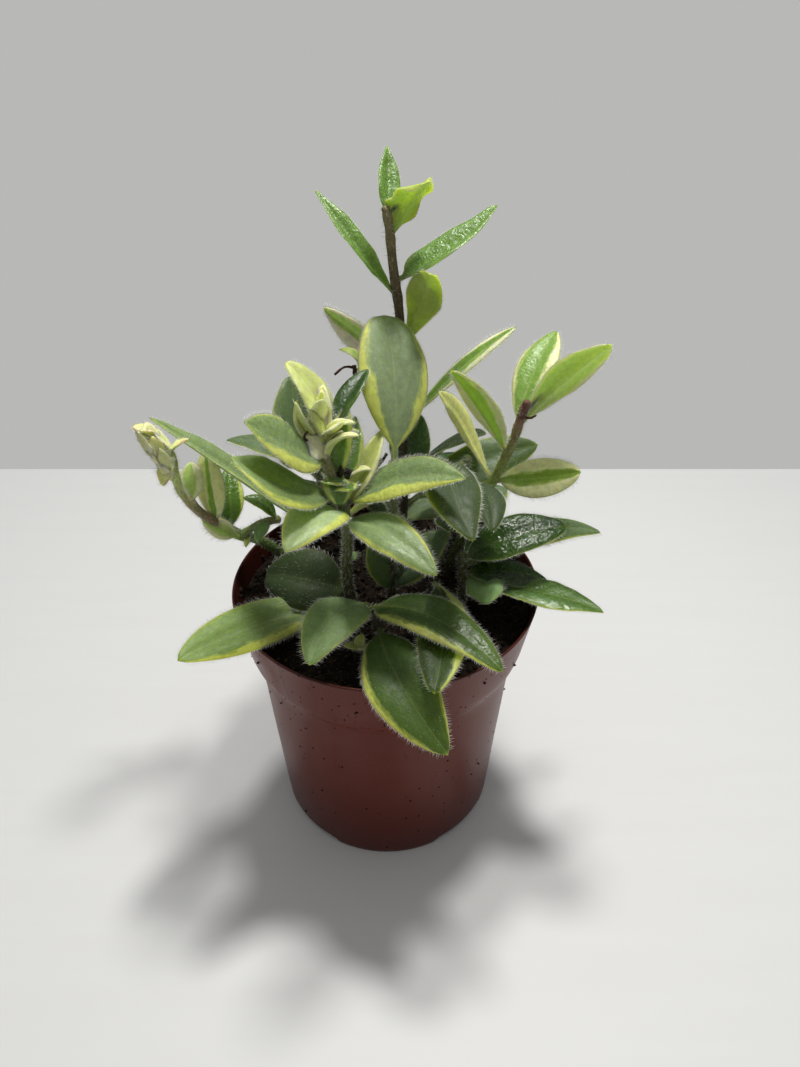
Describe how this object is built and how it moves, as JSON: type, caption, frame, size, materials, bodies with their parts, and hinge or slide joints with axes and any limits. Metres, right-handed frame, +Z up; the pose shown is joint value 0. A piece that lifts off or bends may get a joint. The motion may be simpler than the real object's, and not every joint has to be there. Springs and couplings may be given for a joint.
{
  "type": "potted lipstick plant",
  "caption": "Variegated lipstick plant with pale-edged, softly hairy leaves on upright and trailing stems, in dark soil in a small reddish-brown nursery pot.",
  "frame": {"origin": "on the pot's axis, on the surface that the pot stands on", "axes": "+Z up, -Y towards the front of the plant, +X to its right as seen from the front"},
  "size_m": [0.1489, 0.1333, 0.2305],
  "materials": {
    "pot_plastic": "thin moulded reddish-brown plastic, satin, with soil specks",
    "peat": "dark crumbly peat with light-brown fibres",
    "foliage": "fleshy grey-green leaves with irregular yellow-green margins, fine hairs and a soft sheen, on brown and green stems"
  },
  "bodies": {
    "root": {"pot": "pot_plastic", "soil": "peat", "tall_shoot": "foliage", "middle_shoot": "foliage", "front_shoot": "foliage", "front_low_shoot": "foliage", "left_shoot": "foliage", "right_low_shoot": "foliage", "right_back_shoot": "foliage", "right_tall_shoot": "foliage", "trailing_shoot": "foliage", "back_shoot": "foliage", "back_low_shoot": "foliage", "sprout": "foliage"}
  },
  "joints": []
}
